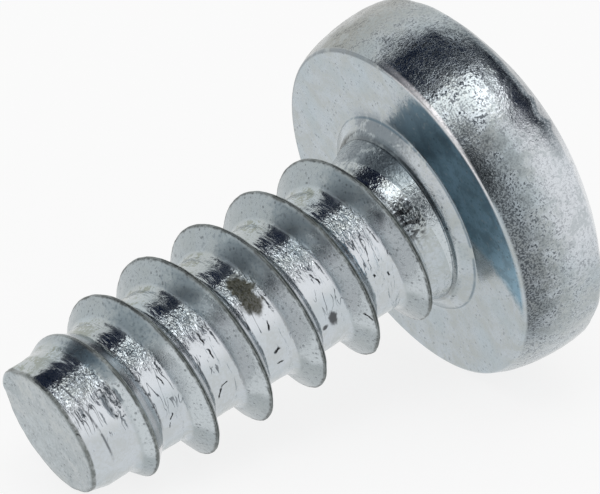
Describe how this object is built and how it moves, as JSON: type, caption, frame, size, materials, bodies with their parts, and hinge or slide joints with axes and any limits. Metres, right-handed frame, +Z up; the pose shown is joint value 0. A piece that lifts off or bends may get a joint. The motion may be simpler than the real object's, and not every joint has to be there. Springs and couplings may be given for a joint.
{
  "type": "sheet metal screw",
  "caption": "Short self-tapping screw for sheet metal, with a domed pan head, coarse pitch thread, blunt end and cross recess, in bright zinc plated steel.",
  "frame": {"origin": "on the ground, under the middle of the screw's bounding box", "axes": "+Z up; the screw's axis lies in the XZ plane and rises from the blunt end at -X to the head at +X, as the screw comes to rest on a flat surface"},
  "size_m": [0.0128, 0.008, 0.0081],
  "materials": {
    "zinc_plated_steel": "bright zinc plating with a pale blue tint over headed and rolled steel, with scratches, pits and dark specks"
  },
  "bodies": {
    "root": {"screw": "zinc_plated_steel"}
  },
  "joints": []
}
